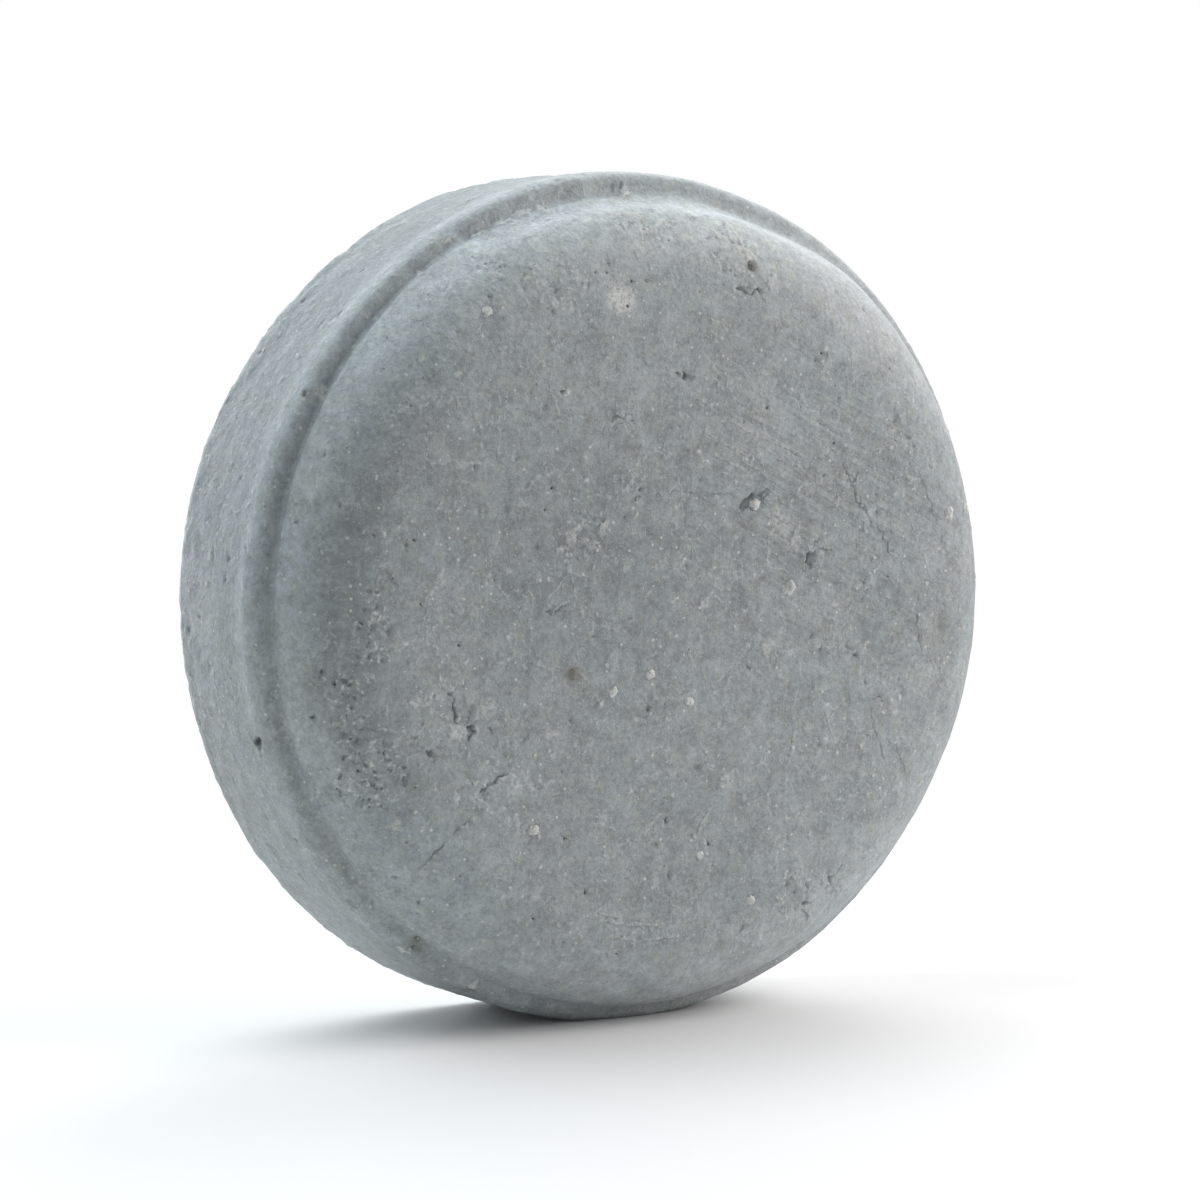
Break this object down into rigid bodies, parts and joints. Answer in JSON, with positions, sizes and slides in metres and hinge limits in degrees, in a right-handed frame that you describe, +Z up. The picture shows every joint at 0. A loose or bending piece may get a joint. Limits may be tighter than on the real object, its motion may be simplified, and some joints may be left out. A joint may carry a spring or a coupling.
{
  "type": "shaving soap puck",
  "caption": "Round puck of shaving soap standing on its edge, with a flat back, rolled lip, ring groove and raised rounded front; grains are set in the front.",
  "frame": {"origin": "middle of the small flat under the puck's edge that it stands on, below the middle of its thickness", "axes": "+Z up; the puck's axis of turning runs along Y, its raised front faces -Y and its flat back faces +Y; +X is to the right seen from the front"},
  "size_m": [0.075, 0.0222, 0.0746],
  "materials": {
    "soap": "dry pressed soap, matte, fine grained, blue-grey",
    "white_grain": "matte waxy off-white grain of undissolved soap",
    "brown_fleck": "matte dark brown plant fleck"
  },
  "bodies": {
    "root": {"soap_puck": "soap", "white_grain_in_pit": "white_grain", "white_grain_beside_pit": "white_grain", "white_grain_lower_left": "white_grain", "white_grain_right_shoulder_inner": "white_grain", "white_grain_right_shoulder_outer": "white_grain", "white_grain_middle": "white_grain", "white_grain_middle_left": "white_grain", "white_grain_middle_low": "white_grain", "white_grain_low_upper": "white_grain", "white_grain_low_right": "white_grain", "white_grain_high_left": "white_grain", "brown_fleck_middle_left": "brown_fleck", "brown_fleck_high_right": "brown_fleck"}
  },
  "joints": []
}
